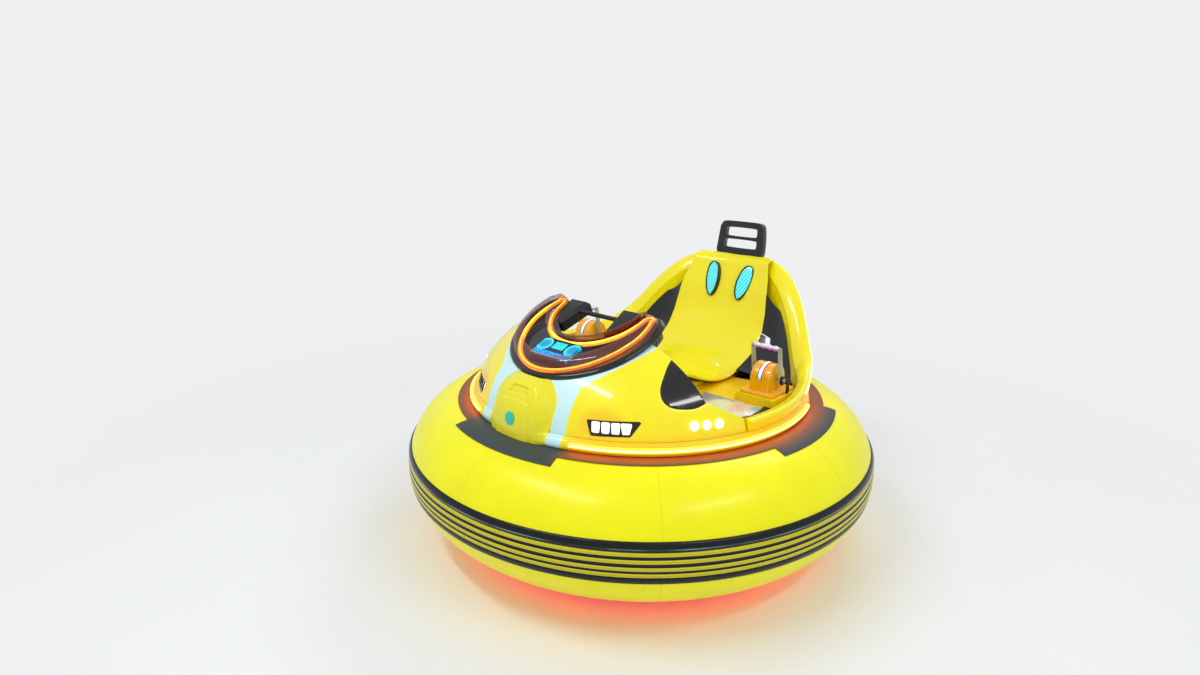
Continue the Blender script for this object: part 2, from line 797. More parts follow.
def hoop_section(angle):
    h, band, out, drop = hoop_numbers(angle)
    foot = HOOD_FOOT + 0.3
    upper = [
        (WALL - 2, foot + 2), (WALL + 0.4 * (out - WALL), foot + 0.5 * (h - 20 - foot)),
        (out - 3, h - 24), (out + 1, h - 12), (out - 3, h - 2), (out - 12, h + 1),
        (out - 0.4 * band - 4, h - 0.12 * drop), (out - 0.75 * band, h - 0.5 * drop),
        (out - band - 2, h - drop + 1), (out - band - 1, h - drop - 12),
    ]
    return [(640, foot), (WALL - 2, foot)] + rounded(upper, 3) + [(640, foot + 1), (640, foot)]


sill_angle = math.degrees(math.asin(SILL_FRONT / (WALL + 6)))
hoops = skin("hoops_skin", around(hoop_section, sill_angle, 180 - sill_angle, 216), angle=50)
stands_for(hoops, "sill_hoops")
print("hoops:", len(hoops.data.polygons), "faces")

# %% [markdown]
# ## The seat
# The bucket seat is one smooth moulding from the front lip down into the valley and up the back. It is a
# loft over stations that give the height, the rise of the side edges and the thickness. The sections are
# closed loops with round side edges, and a smooth curve through the stations fills in the rows between
# them.

# %% Seat
SEAT_STATIONS = [  # along, height over the deck, rise of the edges, half width, thickness, direction
    (-110, 0.3, 2, 226, 1, 180), (-117, 45, 2, 230, 1, 178),
    (-114, 86, 4, 233, 1, 165), (-100, 108, 5, 236, 1, 130), (-70, 116, 6, 238, 1, 98),
    (-24, 109, 6, 241, 1, 80), (50, 88, 4, 246, 1, 73), (140, 65, -14, 250, 0.8, 76),
    (230, 51, -28, 253, 0.56, 84), (310, 47, -24, 256, 0.56, 90), (372, 55, -6, 258, 0.7, 101),
    (440, 71, 8, 259, 0.9, 115), (506, 103, 9, 258, 0.9, 126), (562, 157, 22, 255, 0.9, 138),
    (604, 225, 38, 248, 0.9, 149), (636, 309, 46, 235, 0.8, 156), (668, 379, 46, 218, 0.7, 158),
    (690, 431, 42, 202, 0.5, 160), (706, 453, 36, 201, 0.4, 165),
    (723, 465, 30, 200, 0.3, 172),
]
SEAT_THICKNESS = 28


def seat_section(station):
    y, z, rise, half, part, direction = station
    up = polar(1, direction)
    thick = SEAT_THICKNESS * part
    row = []
    for k in range(73):
        turn = 2 * math.pi * k / 72
        c, s = math.cos(turn), math.sin(turn)
        u = math.copysign(abs(c) ** 0.8, c)
        off = rise * abs(u) ** 2.2 - thick / 2 + thick / 2 * math.copysign(abs(s) ** 0.55, s)
        row.append((u * half, y + up[0] * off, DECK + z + up[1] * off))
    return row


seat = skin("seat_skin", [seat_section(s) for s in through(SEAT_STATIONS, 6)], angle=60)
stands_for(seat, "seat")
print("seat:", len(seat.data.polygons), "faces")

# %% [markdown]
# ## Inner panels
# A thin black sheet closes the gap between the seat's side and the hoop on each side. Its inner edge
# follows the seat and its outer edge the hoop's inner wall, so it is a ruled sheet between those two
# curves, a little hollow.

# %% Panels
# direction on the hoop, and place along the seat
PANEL_ROWS = [(37, 352), (41, 380), (45, 440), (49, 506), (53, 562), (57.5, 604), (62, 636)]
PANEL_SAG = 8
PANEL_GAP, PANEL_FALL = 6, 52  # inside the band's edge, and below it
SEAT_TABLE = [[(s[0], s[k]) for s in SEAT_STATIONS[3:]] for k in range(6)]


def seat_edge(y):
    """Middle of the seat's side edge at a station's place."""
    z, rise, half, part, direction = (looked_up(y, SEAT_TABLE[k]) for k in range(1, 6))
    along, up = polar(rise - SEAT_THICKNESS * part / 2, direction)
    return half - 2, y + along, DECK + z + up


def panel_row(angle, y):
    """From the seat's edge to the hoop's wall, with a sag in the middle."""
    near = seat_edge(y)
    h, band, out, drop = hoop_numbers(angle)
    far = (*polar(out - band - PANEL_GAP, angle), max(h - drop - PANEL_FALL, DECK + 2))
    row = []
    for k in range(13):
        t = k / 12
        sag = PANEL_SAG * math.sin(math.pi * t)
        x, y, z = (a * (1 - t) + b * t for a, b in zip(near, far))
        row.append((x, y + sag, z - sag))
    return row


def on_deck(row):
    """The row let down onto the deck, for the panel's front edge."""
    return [(x, y - 6, min(z, DECK + 1.5)) for x, y, z in row]


sheet_rows = [panel_row(angle, y) for angle, y in through(PANEL_ROWS, 5)]
sheet_rows.insert(0, on_deck(sheet_rows[0]))
sheets = []
for side in (1, -1):
    sheet = skin("sheet", [[(side * x, y, z) for x, y, z in row] for row in sheet_rows], fill=False, angle=40)
    sheets.append(soften(clean(walled(sheet, 0.004)), angle=40))
stands_for(joined("inner_panels_skin", *sheets), "inner_panels")
print("inner panels made")

# %% [markdown]
# ## The dash pod
# A glossy black rim in the shape of a horseshoe carries a smoked cover. The CAD gives both as stacked
# crescents. Here the same crescents get many more points and the tiers get a smooth curve between them,
# because the reflections on the real rim are long and unbroken.

# %% Crescents
def crescent(margin, height):
    """Closed outline of the pod with its notch, pulled in by a margin, in the pod's own frame."""
    side = NOTCH_HALF + (4 + margin * 0.6 if margin > 0 else 0)
    tip = NOTCH_FRONT + NOTCH_HALF + 12 - 0.24 * max(0, margin)
    prong = max(8, PRONG - margin)
    left = POD_HALF - PRONG - 8
    half = arc((0, POD_HALF), POD_HALF - margin, -90, 10, 40)
    half += arc((left, POD_LENGTH - PRONG), prong, 16, 90, 12)
    corner = min(16, (left - side) * 0.45)
    half += arc((side + corner, tip + 10 - corner), corner, 96, 178, 8)
    half += arc((0, NOTCH_FRONT + NOTCH_HALF), side, -4, -90, 32)
    loop = [(x, y, height) for x, y in half] + [(-x, y, height) for x, y in half[-2:0:-1]]
    return loop + [loop[0]]


def on_dash(rows):
    """Rows in the pod's frame, stood on the car."""
    return [[tuple(1000 * c for c in dash_stand @ (Vector(p) / 1000)) for p in row] for row in rows]


# how far in, and how high, for each tier
RIM_TIERS = [(14, 15), (9, 16), (2, 15.5), (-3, 13.5), (-6.5, 10), (-8, 6), (-8, 3), (-5, -0.5)]
COVER_TIERS = [(64, 57), (50, 58), (36, 54), (25, 47), (18, 38), (13.5, 27), (12, 16.3)]
dash_rim = skin("dash_rim_skin", on_dash([crescent(m, z) for m, z in through(RIM_TIERS, 4)]), angle=60)
skirt = prism("dash_skirt", [(x, y) for x, y, _ in crescent(8, 0)[:-1]], 39, shifted(dash_stand, -40))
soften(skirt, angle=40)
dash_rim = stands_for(joined("dash_rim_skin", dash_rim, skirt), "dash_rim")
cover_rows = on_dash([crescent(m, z) for m, z in through(COVER_TIERS, 4)])
dash_cover = walled(skin("dash_cover_skin", cover_rows, fill=False, angle=60), 0.003)
soften(dash_cover, angle=60)
stands_for(dash_cover, "dash_cover")
print("dash rim and cover:", len(dash_rim.data.polygons), len(dash_cover.data.polygons), "faces")

# %% [markdown]
# The neon is a flexible light pipe laid in one loop under the cover: along the rim, round the tip of each
# prong and back along the notch. Seen from above it is an orange band with a brighter core. A band and a
# thinner core on top of it, both swept along the same loop, give those two tones.

# %% Neon loop
NEON_INSET, NEON_DRIFT, NEON_RADIUS = 22, 26, 213
PRONG_TURN = [(252, 413), (243, 421), (232, 423), (222, 418)]


def neon_path():
    """Middle line of the loop: along the rim, round the prong's tip and back along the notch."""
    half = []
    for a in range(-90, 23, 3):
        x, y = polar(POD_HALF - NEON_INSET - NEON_DRIFT * ease(90 + a, 0, 70), a)
        half.append((x, POD_HALF + y))
    half += PRONG_TURN + arc((0, NOTCH_FRONT + NOTCH_HALF), NEON_RADIUS, 0, -90, 30)
    return half + [(-x, y) for x, y in half[-2:0:-1]]


def half_round(half, tall):
    """A half-round section that stands on a flat foot."""
    crown = [(half * math.cos(math.pi * k / 8), tall * math.sin(math.pi * k / 8)) for k in range(9)]
    return crown + [(0, -0.5), (half, 0)]


def swept(name, path, section, height):
    """A section carried round a closed flat path on the dash."""
    rows = []
    n = len(path)
    for i in list(range(n)) + [0]:
        (ax, ay), (bx, by) = path[i - 1], path[(i + 1) % n]
        side = Vector((by - ay, ax - bx)).normalized()
        x, y = path[i]
        rows.append([(x + side.x * u, y + side.y * u, height + v) for u, v in section])
    return skin(name, on_dash(rows), fill=False, angle=60)


loop = neon_path()
stands_for(swept("neon_skin", loop, half_round(11.5, 7), 16), "dash_neon")
stands_for(swept("neon_core", loop, half_round(4.5, 4), 22), "dash_neon")
print("neon loop:", len(loop), "points")

# %% [markdown]
# ## Pieces that keep the solid model's form
# These have their real form already. Each one gets an edge radius that fits how it is made: wide on
# castings and cast lamps, narrow on trimmed vinyl and sheet metal, none on small round bars.

# %% Plain nodes with soft edges
SOFT_NODES = [  # piece, node, smoothing angle, edge in metres, steps
    ("cover_skin", "tube_cover", 25, 0.0015),
    ("rim_skin", "body_ring", 50, 0.004, 3),
    ("seat_base_skin", "seat_base", 30, 0.006, 3),
    ("deck_skin", "floor_deck", 30, 0.001),
    ("pedestals_skin", "pedestals", 30, 0.002),
    ("housing_skin_left", "lever_housing_left", 30, 0.003, 3),
    ("housing_skin_right", "lever_housing_right", 30, 0.003, 3),
    ("lever_skin_left", "lever_left", 30, 0.0012),
    ("lever_skin_right", "lever_right", 30, 0.0012),
    ("grip_skin_left", "grip_left", 60),
    ("grip_skin_right", "grip_right", 60),
    ("grab_bar_skin", "grab_bar", 30, 0.004, 3),
    ("bezels_skin", "headlamp_bezels", 30, 0.0015),
    ("cells_skin", "headlamp_cells", 30, 0.003, 3),
    ("round_lamps_skin", "round_lamps_all", 30, 0.003, 3),
    ("rim_light_skin_left", "rim_light_left", 60),
    ("rim_light_skin_right", "rim_light_right", 60),
    ("hoop_lights_skin", "hoop_lights", 60),
    ("housing_lights_skin", "housing_lights", 40),
    ("number_disc_skin", "number_disc", 30, 0.001),
    ("floor_plates_skin", "floor_plates", 30, 0.0006),
    ("foot_well_skin", "foot_well", 30, 0.002),
]
for piece, node, *softness in SOFT_NODES:
    dressed(piece, node, *softness)

# %% [markdown]
# ## Head handle
# The handle is one glossy black moulding with a round section and two wide slots, wider at its foot than at
# its top. The plate is drawn flat with its slots cut, and a wide bevel rounds every edge until the bars
# look like tubes, which is quicker and more even than sweeping four bars into each other.

# %% Handle
HANDLE_THICK = 32
HANDLE_ROUND = 0.0075
HANDLE_OUTLINE = [
    (-127, 8), (-118, -20), (118, -20), (127, 8), (118, 120),
    (104, 144), (70, 147), (-70, 147), (-104, 144), (-118, 120),
]
HANDLE_SLOTS = [(26, 58, 91), (80, 114, 88)]  # foot, top and half width

handle_stand = Matrix.Translation((0, 0.738, (BACK - 6) / 1000)) @ rotation(82, "X")
foot_of_plate = shifted(handle_stand, -HANDLE_THICK / 2)
handle = prism("handle_skin", rounded(HANDLE_OUTLINE, 3), HANDLE_THICK, foot_of_plate)
for low, high, half in HANDLE_SLOTS:
    left = [(-half + 7, high + 4), (-half + 1, high - 3)]
    below = [(-half, low + 3), (-half + 6, low - 4), (half - 6, low - 4), (half, low + 3)]
    slot = rounded(below + [(half - 1, high - 3), (half - 7, high + 4)] + left, 2)
    cut(handle, prism("slot", slot, 60, shifted(handle_stand, -30)))
soften(clean(handle), angle=40, edge=HANDLE_ROUND, steps=4)
stands_for(handle, "head_handle")
print("handle:", len(handle.data.polygons), "faces")

# %% [markdown]
# ## Eyes
# Each eye is a leaf-shaped lamp, rounder above and pointed below, in a thin black rim that stands on the
# seat's back. The outline is one smooth curve through a few points, drawn once larger for the rim and once
# for the lamp.

# %% Eyes
LEAF = [
    (0, -82), (14, -66), (25, -38), (31, -4), (30, 30), (24, 58), (12, 77),
    (-2, 81), (-17, 70), (-27, 44), (-31, 10), (-28, -24), (-18, -56),
]
EYE_RIM = 6


def leaf(margin):
    """The leaf with its edge moved out by a margin, less so near its tips."""
    loop = through(LEAF + LEAF[:1], 4)[:-1]
    return [(x + margin * (1 if x > 0 else -1) * min(1, abs(x) / 6), y * (1 + margin / 130)) for x, y in loop]


eye_stand = Matrix.Translation((0.086, 0.648, (DECK + 347) / 1000))
eye_stand = eye_stand @ rotation(7.6, "Z") @ rotation(68.4, "X") @ rotation(-11.6, "Z")
rims, lamps = [], []
for side in (1, -1):
    rim = prism("rim", leaf(EYE_RIM), 22, shifted(eye_stand, -9))
    cut(rim, prism("inside", leaf(0), 40, shifted(eye_stand, -3)))
    lamp = prism("lamp", leaf(-0.4), 19, shifted(eye_stand, -8))
    on_side(side, rim, lamp)
    for piece in (rim, lamp):
        soften(piece, angle=40, edge=0.0018)
    rims.append(rim)
    lamps.append(lamp)
stands_for(joined("eye_rims_skin", *rims), "eye_rims")
stands_for(joined("eye_lamps_skin", *lamps), "eye_lamps")
print("eyes made")

# %% [markdown]
# ## Small parts by the levers
# Each lever turns on a bolt with a black washer and a silver head, and a short black strut holds the bolt
# to the pedestal. A black carpet strip lies along the inner side of each sill. They are turned, drawn and
# lofted pieces.

# %% Bolts, struts and carpet
LEVER_X, LEVER_Y, PIVOT = 490, 214, DECK + 89
WASHER = [(0.01, 0), (16, 0), (18, 1.5), (18, 5), (16, 7), (10, 7.6), (0.01, 7.6)]
KNOB = [(0.01, 7.7), (9, 7.7), (9.5, 9), (8.5, 12), (6, 13.4), (0.01, 13.8)]
STRUT = [(-9, 0), (9, 0), (7, 44), (4, 50), (-4, 50), (-7, 44)]
BOLT_X, STRUT_X = LEVER_X + 64.3, LEVER_X + 88.5
CARPET = [(552, 3.2), (553, 5), (634, 5), (635, 3.2), (552, 3.2)]


def turned(name, profile, centre, side):
    """A profile of (radius, distance out) turned round a level axis."""
    rows = []
    for k in range(37):
        c, s = math.cos(2 * math.pi * k / 36), math.sin(2 * math.pi * k / 36)
        rows.append([(side * (centre[0] + out), centre[1] + r * c, centre[2] + r * s) for r, out in profile])
    return skin(name, rows, angle=40)


struts, strips = [], []
for side, word in ((1, "left"), (-1, "right")):
    pivot = (BOLT_X, LEVER_Y, PIVOT)
    washer = turned("washer_" + word, WASHER, pivot, side)
    knob = turned("knob_" + word, KNOB, pivot, side)
    stands_for(washer, "lever_" + word)
    stands_for(knob, "lever_" + word)
    strut = prism("strut", rounded(STRUT, 2), 7)
    foot = Matrix.Translation((side * STRUT_X / 1000, LEVER_Y / 1000, (PIVOT - 46) / 1000))
    strut.data.transform(foot @ rotation(90, "X") @ rotation(90, "Y"))
    struts.append(soften(clean(strut), angle=40, edge=0.001))
    rows = []
    for a in range(-15, 38):
        c, s = polar(1, a)
        rows.append([(side * r * c, r * s, DECK + z) for r, z in CARPET])
    strips.append(skin("strip", rows, angle=40))
stands_for(joined("struts", *struts), "pedestals")
stands_for(joined("carpet_strips", *strips), "floor_deck")
print("small parts made")

# %% [markdown]
# ## Yellow vinyl of the tube
# The tube is welded from satin vinyl. Between the welds it carries a little slack, and its gloss is wide
# and soft. Noise at two scales moves the colour, the roughness and the bump by a few per cent.

# %% Vinyl
vinyl = Finish(
    "satin_yellow_vinyl", Roughness=0.36, Coat_Weight=0.15, Coat_Roughness=0.18, Specular_IOR_Level=0.25
)
slack = vinyl.noise(7, 3)
grain = vinyl.noise(240, 2)
across, along, height = vinyl.axes()
weld = (along.turn_from(across) * (GORES / 2 / math.pi)).saw().step(0.495, 0.4985)
yellow = vinyl.mix(slack.step(0.3, 0.75), (0.955, 0.935, 0.0), (0.975, 0.955, 0.01))
vinyl.set(
    Base_Color=vinyl.mix(weld, yellow, (0.925, 0.905, 0.0)),
    Roughness=0.28 + slack * 0.14,
    Normal=vinyl.bump(slack * 0.5 + grain * 0.03, 0.0035),
)
paint(vinyl, "tube_skin")
print("vinyl on the tube")

# %% [markdown]
# ## Rubbing strip
# The strip's colours follow its ribs. The angle round the tube's section tells which rib a point is on, and
# the arctangent of the place gives that angle, so no picture is needed.

# %% Strip
RIBS = (-9.95, 10.75)  # degrees round the section
PALE_RIBS = (-8.9, 9.8)
GROOVES = [(-5.1, 1.15), (0.6, 1.5), (6.4, 1.3)]  # middle and half width
CREST = 13.1

strip = Finish("ribbed_strip", Roughness=0.28, Coat_Weight=0.2, Coat_Roughness=0.08, Specular_IOR_Level=0.25)
across, along, height = strip.axes()
out = distance(across, along) - RING_RADIUS / 1000
turn = (height - TUBE_HEIGHT / 1000).turn_from(out) * (180 / math.pi)
rib = turn.between(*RIBS, 0.2)
middle = turn.between(*PALE_RIBS, 0.5)
for groove, half in GROOVES:
    away = abs(turn - groove)
    rib = rib * away.step(half - 0.12, half + 0.12)
    middle = middle * away.step(half + 0.6, half + 1.2)
wear = strip.noise(60, 5)
worn_crest = turn.near(CREST, 0.55, 0.35) * strip.noise(5, 2).step(0.35, 0.65)
black = strip.mix(wear.step(0.45, 0.8), (0.01, 0.03, 0.035), (0.02, 0.055, 0.065))
black = strip.mix(worn_crest, black, (0.5, 0.62, 0.64))
yellow = strip.mix(middle, (0.84, 0.81, 0.12), (0.77, 0.71, 0.03))
strip.set(
    Base_Color=strip.mix(rib, black, yellow), Roughness=0.2 + wear * 0.16, Normal=strip.bump(wear, 0.00015)
)
paint(strip, "rubbing_strip")
low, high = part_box("rub_strip")
print("strip is", round(high.z - low.z, 3), "m high")

# %% [markdown]
# ## Slate cover
# The cover on the tube is coarse dark vinyl. Close to the body it takes the orange light of the rim strips,
# except in front, where there is no strip. Here that light is a part of the colour, so it stays the same
# however the scene is lit.

# %% Slate cover
GLOW_REACH = 0.805

slate = Finish("slate_cover", Roughness=0.5)
weave = slate.noise(320, 2)
stain = slate.noise(5, 5)
across, along, height = slate.axes()
in_front = (0.27 - abs(across)).step(0, 0.06) * (0 - along).step(0, 0.1)
lit = (GLOW_REACH - distance(across, along)).step(0, 0.095) * (1 - in_front)
slate.set(
    Base_Color=slate.mix(
        lit, slate.mix(stain, (0.15, 0.19, 0.2), (0.24, 0.28, 0.29)),
        slate.mix(stain, (0.66, 0.34, 0.1), (0.5, 0.25, 0.1)),
    ),
    Roughness=0.42 + stain * 0.2,
    Normal=slate.bump(weave * 0.5 + stain, 0.0008),
)
paint(slate, "cover_skin")
print("cover painted")

# %% [markdown]
# ## Yellow shell with two pale stripes
# The shell is coloured glass-fibre with a deep clear coat. Two pale stripes run from the dash down over the
# hood and the rim, on both sides of the nose, and close to an arch above it. They are a mask of three
# distances: how far a point is from the middle line, how high it is and how far back.

# %% Shell
STRIPE_FOOT, STRIPE_RISE = 0.70, 0.105
STRIPE_INNER, STRIPE_OUTER = 0.155, 0.212
LAMP_RADIUS, LAMP_HEIGHT = 0.645, 0.676


def yellow_shell(name, striped):
    """The glossy yellow paint, with or without the two pale stripes and the duller nose."""
    shell = Finish(name, Roughness=0.3, Coat_Weight=0.6, Coat_Roughness=0.03, Specular_IOR_Level=0.3)
    across, along, height = shell.axes()
    aside = abs(across)
    ripple = shell.noise(5, 2)
    dust = shell.noise(90, 6)
    lamp_x, lamp_y = polar(LAMP_RADIUS, ROUND_LAMPS[1][0])
    u, v, w = aside - lamp_x, along + lamp_y, height - LAMP_HEIGHT
    halo = (0.11 - (u * u + v * v + w * w * 2.4).root()).step(0, 0.06)
    lit = ((0.668 - height).step(0, 0.06) * (aside - 0.2).step(0, 0.06)).math("MAXIMUM", 0.8 * halo)
    colour = shell.mix(dust.step(0.4, 0.75), (0.99, 0.935, 0.0), (0.98, 0.915, 0.01))
    colour = shell.mix(lit * 0.75, colour, (0.985, 0.74, 0.01))
    if striped:
        lift = ((height - STRIPE_FOOT) / STRIPE_RISE).held()
        inner = STRIPE_INNER * (1 - lift * lift).root()
        back = ((along + 0.56) / 0.3).held()
        outer = STRIPE_OUTER + 0.124 * back * (2 - back)
        front = (0 - along - 0.2).step(0, 0.001) * (height - 0.5).step(0, 0.001)
        on_nose = (inner - aside).step(0, 0.004) * front
        colour = shell.mix(on_nose, colour, (0.93, 0.895, 0.08))
        pale = shell.mix((height - 0.6).step(0, 0.28), (0.78, 0.95, 0.96), (0.83, 0.965, 0.975))
        colour = shell.mix(aside.between(inner, outer, 0.0015) * front, colour, pale)
    return shell.set(
        Base_Color=colour, Roughness=0.22 + dust * 0.12, Normal=shell.bump(ripple * 0.8 + dust * 0.02, 0.0012)
    )


paint(yellow_shell("striped_yellow_shell", True), "hood_skin", "nose_skin", "rim_skin")
paint(
    yellow_shell("plain_yellow_shell", False),
    "hoops_skin", "seat_skin", "seat_base_skin", "deck_skin", "pedestals_skin",
)
print("shell painted")

# %% [markdown]
# Seen from behind, the open shell shows its inner side. On the real moulding that side is a dull dark coat,
# and the lamps sit in closed black pots. So every face that looks towards the car's upright axis gets a
# dull finish.

# %% Inner sides
FACING_IN = -0.15

inner_coat = coat(
    "inner_coat", (30, 5), (0.1, 0.11, 0.12), (0.17, 0.18, 0.19), rough=(0.6, 0.25), depth=0.001,
    Roughness=0.7,
)


def coat_inside(name):
    """Gives the faces of a piece that look towards the upright axis, or steeply down, the inner coat."""
    mesh = bpy.data.objects[name].data
    mesh.materials.append(inner_coat.material)
    count = 0
    for face in mesh.polygons:
        out = Vector((face.center.x, face.center.y, 0)).normalized() + Vector((0, 0, 0.6))
        if face.normal.dot(out.normalized()) < FACING_IN:
            face.material_index = len(mesh.materials) - 1
            count += 1
    return count


print("faces inside the shell:", coat_inside("hood_skin") + coat_inside("nose_skin"))

# %% [markdown]
# ## Black parts, steel and rubber
# Two blacks tell the parts apart: polished mouldings with wipe marks and specks of dust, and matt grained
# plastic. The running gear is zinc-plated steel with solid rubber tyres.

# %% Black parts
gloss_black = Finish(
    "gloss_black", Roughness=0.1, Coat_Weight=0.6, Coat_Roughness=0.02, Specular_IOR_Level=0.35
)
smear = gloss_black.noise(12, 6, (1, 1, 4))
speck = gloss_black.cells(130)
gloss_black.set(
    Base_Color=gloss_black.mix(speck.step(0.12, 0.05), (0.01, 0.016, 0.02), (0.24, 0.29, 0.3)),
    Roughness=0.05 + smear * 0.12,
    Normal=gloss_black.bump(smear, 0.0003),
)
paint(
    gloss_black, "dash_rim_skin", "side_panels_skin", "inner_panels_skin", "bezels_skin", "eye_rims_skin",
    "handle_skin",
)

moulded_black = Finish("moulded_black", Roughness=0.42)
leather = moulded_black.cells(420)
rub = moulded_black.noise(14, 4)
moulded_black.set(
    Base_Color=moulded_black.mix(rub, (0.015, 0.025, 0.035), (0.055, 0.07, 0.08)),
    Roughness=0.32 + rub * 0.2,
    Normal=moulded_black.bump(leather, 0.0004),
)
paint(
    moulded_black, "grab_bar_skin", "foot_well_skin", "battery", "carpet_strips", "washer_left",
    "washer_right", "struts",
)

steel = coat(
    "zinc_steel", (70, 3), (0.6, 0.62, 0.64), (0.76, 0.78, 0.8), rough=(0.25, 0.25),
    Metallic=1.0, Roughness=0.35,
)
paint(
    steel, "wheel_bracket_left", "wheel_bracket_right", "caster_fork_front", "caster_fork_rear",
    "base_plate", "chassis_drum", "knob_left", "knob_right",
)
rubber = coat(
    "solid_rubber", (40, 5), (0.09, 0.09, 0.09), (0.2, 0.2, 0.2), rough=(0.55, 0.3), depth=0.001,
    Roughness=0.7,
)
paint(rubber, "drive_wheel_left", "drive_wheel_right", "caster_wheel_front", "caster_wheel_rear")
print("black parts, steel and rubber painted")

# %% [markdown]
# ## Lights on the car
# A lit part sends out its own colour. A picture clips very bright colours to white, so each lamp's strength
# is only as high as keeps its hue, and a brighter core inside a darker band gives the look of a tube that
# glows.

# %% Strips and lamps
def glow(name, colour, edge, strength, scale):
    lit = Finish(name, Roughness=0.3, Emission_Strength=strength)
    cloud = lit.noise(scale, 2)
    return lit.shine(lit.mix(cloud.step(0.35, 0.7), colour, edge))


paint(glow("warm_strip", (1, 0.46, 0.1, 1), (1, 0.4, 0.08, 1), 6, 30), "hoop_lights_skin")
paint(glow("orange_band", (1, 0.26, 0.006, 1), (0.9, 0.2, 0.004, 1), 1.3, 40), "neon_skin")
paint(glow("orange_core", (1, 0.48, 0.03, 1), (1, 0.4, 0.02, 1), 3.6, 40), "neon_core")
paint(glow("white_lamp", (1, 0.93, 0.72, 1), (1, 0.88, 0.6, 1), 1.7, 60), "cells_skin", "round_lamps_skin")
print("lamp backs:", coat_inside("cells_skin") + coat_inside("round_lamps_skin"))

low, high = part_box("rim_light_left")
middle, half = (low.z + high.z) / 2, (high.z - low.z) / 2
warm = Finish("warm_rim", Roughness=0.3, Emission_Strength=6)
across, along, height = warm.axes()
bright = height.near(middle, half * 0.62, half * 0.3)
amber_band = warm.mix(warm.noise(30, 2), (0.6, 0.22, 0.015, 1), (0.55, 0.18, 0.01, 1))
warm.shine(warm.mix(bright, amber_band, (1, 0.52, 0.14, 1)))
paint(warm, "rim_light_skin_left", "rim_light_skin_right")

# %% [markdown]
# The slot over each lever housing runs from blue over pale blue to pink as it climbs, with a coloured
# border, and the ring under the car is a row of red beads. Both patterns come from the place alone.

# %% Slot lights and ring
SLOT_X, SLOT_FOOT, SLOT_RISE = 0.49, 0.7, 0.055
BEADS = 300

slot = Finish("slot_light", Roughness=0.3, Emission_Strength=1.2)
across, along, height = slot.axes()
up = ((height - SLOT_FOOT) / SLOT_RISE) + slot.noise(90, 2) * 0.3 - 0.15
offset = abs(across) - SLOT_X
blue = slot.mix(up.step(-0.1, 0.45), (0.01, 0.3, 0.95, 1), (0.5, 0.8, 1, 1))
tint = slot.mix(up.step(0.3, 1.0), blue, (1, 0.6, 0.72, 1))
border = slot.mix(offset.step(-0.004, 0.004), (0.012, 0.002, 0.11, 1), (0.3, 0.002, 0.07, 1))
tint = slot.mix((0.0058 - abs(offset)).step(-0.0012, 0.001), border, tint)
paint(slot.shine(tint), "housing_lights_skin")

ring = Finish("red_ring", Roughness=0.4, Emission_Strength=9)
across, along, height = ring.axes()
bead = (along.turn_from(across) * (BEADS / 2 / math.pi)).saw().step(0.2, 0.34)
tint = ring.mix(bead, (1, 0.004, 0.012, 1), (0.16, 0.0, 0.002, 1))
paint(ring.shine(tint, Roughness=0.3 + ring.noise(60, 2) * 0.2), "light_ring")
print("lights on")

# %% [markdown]
# The instrument graphic is drawn by sums in the dash's own frame: two round gauges with ticks, a screen
# between them and a lower bar, all plain shapes in cyan on dark blue.

# %% Dials
DIAL_TICKS = 28
GAUGES = (-0.068, 0.078)
GAUGE_RADIUS = 0.031

dials = Finish("blue_dials", Roughness=0.2, Emission_Strength=0.7)
across, along, height = dials.axes((0, POD_FRONT / 1000, POD_HEIGHT / 1000), (math.radians(-DASH_TILT), 0, 0))
flicker = dials.noise(260, 3)


def box_mask(half_width, middle, half_height, soft=0.001):
    """1 inside an upright box on the panel."""
    return across.near(0.005, half_width, 0.001) * along.near(middle, half_height, soft)


picture = (0.0, 0.012, 0.05, 1)
for centre in GAUGES:
    u, v = across - centre, along - 0.142
    far = distance(u, v)
    tick = (v.turn_from(u) * (DIAL_TICKS / 2 / math.pi)).saw().step(0.3, 0.4)
    rim = far.near(GAUGE_RADIUS, 0.0035, 0.0012)
    scale = far.near(0.023, 0.004, 0.001) * tick
    disc = (GAUGE_RADIUS - far).step(0, 0.001)
    picture = dials.mix(disc, picture, dials.mix(flicker, (0.0, 0.12, 0.26, 1), (0.0, 0.32, 0.5, 1)))
    picture = dials.mix(rim.math("MAXIMUM", scale), picture, (0.02, 0.75, 0.9, 1))
screen = dials.mix(flicker.step(0.35, 0.7), (0.0, 0.38, 0.45, 1), (0.02, 0.7, 0.55, 1))
picture = dials.mix(box_mask(0.03, 0.148, 0.02), picture, screen)
bar = dials.mix(flicker.step(0.4, 0.6), (0.0, 0.06, 0.4, 1), (0.0, 0.4, 0.8, 1))
picture = dials.mix(box_mask(0.1, 0.097, 0.013), picture, bar)
picture = dials.mix(box_mask(0.1, 0.084, 0.0012, 0.0008), picture, (0.7, 0.9, 1, 1))
paint(dials.shine(picture), "instrument_panel")
print("dials drawn")

# %% [markdown]
# ## Eyes and cover
# The eyes are cyan lenses with slanted bars, which lean the same way on both sides. The dash cover is
# smoked amber acrylic: a see-through colour with a deep gloss shows the neon below better than true glass
# would.

# %% Eyes and cover
BARS_PER_METRE = 60

eyes = Finish("cyan_eye", Roughness=0.12, Coat_Weight=1.0, Emission_Strength=0.25)
across, along, height = eyes.axes()
bars = ((height * 0.62 - across) * BARS_PER_METRE).saw().step(0.36, 0.42)
shimmer = eyes.noise(120, 4)
tint = eyes.mix(bars * (0.55 + shimmer * 0.5), (0.02, 0.86, 0.93), (0.72, 0.98, 1.0))
paint(eyes.shine(tint, Roughness=0.1 + shimmer * 0.12), "eye_lamps_skin")

